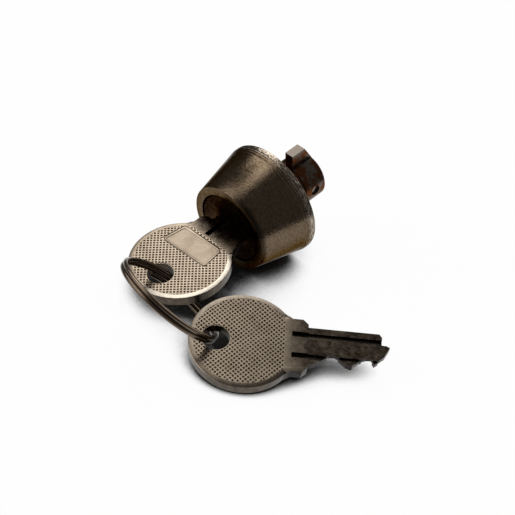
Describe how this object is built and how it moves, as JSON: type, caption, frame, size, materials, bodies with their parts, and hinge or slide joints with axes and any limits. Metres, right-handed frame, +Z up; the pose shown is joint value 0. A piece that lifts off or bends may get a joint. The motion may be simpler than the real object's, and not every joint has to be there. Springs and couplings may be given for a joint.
{
  "type": "trailer hitch lock",
  "caption": "Conical hitch lock head lying on its side, with a quarter-turn lug pin, one key in the lock and a spare key on a split ring.",
  "frame": {"origin": "centre of the collar's rear shoulder, on the lock's axis", "axes": "+Z up from the surface the part lies on, +Y roughly towards the lug pin (the lock's axis leans up by 13.4 degrees from +Y because the cone lies on its side), +X to the right seen from the key side"},
  "size_m": [0.0646, 0.0669, 0.0283],
  "materials": {
    "collar_plate": "nickel plated, turned",
    "barrel_metal": "dark nickel plated",
    "plug_metal": "dark nickel plated",
    "cam_steel": "plated steel",
    "pin_steel": "drawn steel",
    "wafer_brass": "stamped brass",
    "spring_steel": "drawn wire",
    "key_nickel": "nickel plated, knurled bow",
    "ring_steel": "dark spring steel"
  },
  "bodies": {
    "housing": {"head_collar": "collar_plate", "barrel": "barrel_metal", "barrel_pin": "pin_steel", "stop_pin": "pin_steel"},
    "core": {"plug": "plug_metal", "lug_cam": "cam_steel", "cam_cross_pin": "pin_steel", "wafer_spring_1": "spring_steel", "wafer_spring_2": "spring_steel", "wafer_spring_3": "spring_steel", "wafer_spring_4": "spring_steel", "wafer_spring_5": "spring_steel"},
    "wafer_1": {"wafer_1": "wafer_brass"},
    "wafer_2": {"wafer_2": "wafer_brass"},
    "wafer_3": {"wafer_3": "wafer_brass"},
    "wafer_4": {"wafer_4": "wafer_brass"},
    "wafer_5": {"wafer_5": "wafer_brass"},
    "lock_key": {"key_in_lock": "key_nickel"},
    "ring": {"split_ring": "ring_steel"},
    "spare": {"spare_key": "key_nickel"}
  },
  "joints": [
    {"name": "plug_turn", "type": "hinge", "parent": "housing", "child": "core", "pos_m": [0, 0, 0], "axis": [0, 0.9726, 0.2324], "range_deg": [0, 90]},
    {"name": "key_slide", "type": "slide", "parent": "core", "child": "lock_key", "axis": [0, -0.9726, -0.2324], "range_m": [0, 0.02]},
    {"name": "wafer_slide_1", "type": "slide", "parent": "core", "child": "wafer_1", "axis": [1, 0, 0], "range_m": [0, 0.0007], "deforming": ["wafer_spring_1"]},
    {"name": "wafer_slide_2", "type": "slide", "parent": "core", "child": "wafer_2", "axis": [1, 0, 0], "range_m": [0, 0.0007], "deforming": ["wafer_spring_2"]},
    {"name": "wafer_slide_3", "type": "slide", "parent": "core", "child": "wafer_3", "axis": [1, 0, 0], "range_m": [0, 0.0007], "deforming": ["wafer_spring_3"]},
    {"name": "wafer_slide_4", "type": "slide", "parent": "core", "child": "wafer_4", "axis": [1, 0, 0], "range_m": [0, 0.0007], "deforming": ["wafer_spring_4"]},
    {"name": "wafer_slide_5", "type": "slide", "parent": "core", "child": "wafer_5", "axis": [1, 0, 0], "range_m": [0, 0.0007], "deforming": ["wafer_spring_5"]},
    {"name": "ring_swing", "type": "hinge", "parent": "lock_key", "child": "ring", "pos_m": [0.00026, -0.03524, -0.00829], "axis": [0.5825, 0.5697, -0.5798], "range_deg": [-20, 20]},
    {"name": "spare_key_swing", "type": "hinge", "parent": "ring", "child": "spare", "pos_m": [0.02217, -0.03904, -0.00961], "axis": [0.421, -0.7436, 0.5194], "range_deg": [-25, 10]}
  ],
  "couplings": [
    {"joint": "wafer_slide_1", "follows": "key_slide", "ratio": 0.035},
    {"joint": "wafer_slide_2", "follows": "key_slide", "ratio": 0.035},
    {"joint": "wafer_slide_3", "follows": "key_slide", "ratio": 0.035},
    {"joint": "wafer_slide_4", "follows": "key_slide", "ratio": 0.035},
    {"joint": "wafer_slide_5", "follows": "key_slide", "ratio": 0.035}
  ]
}
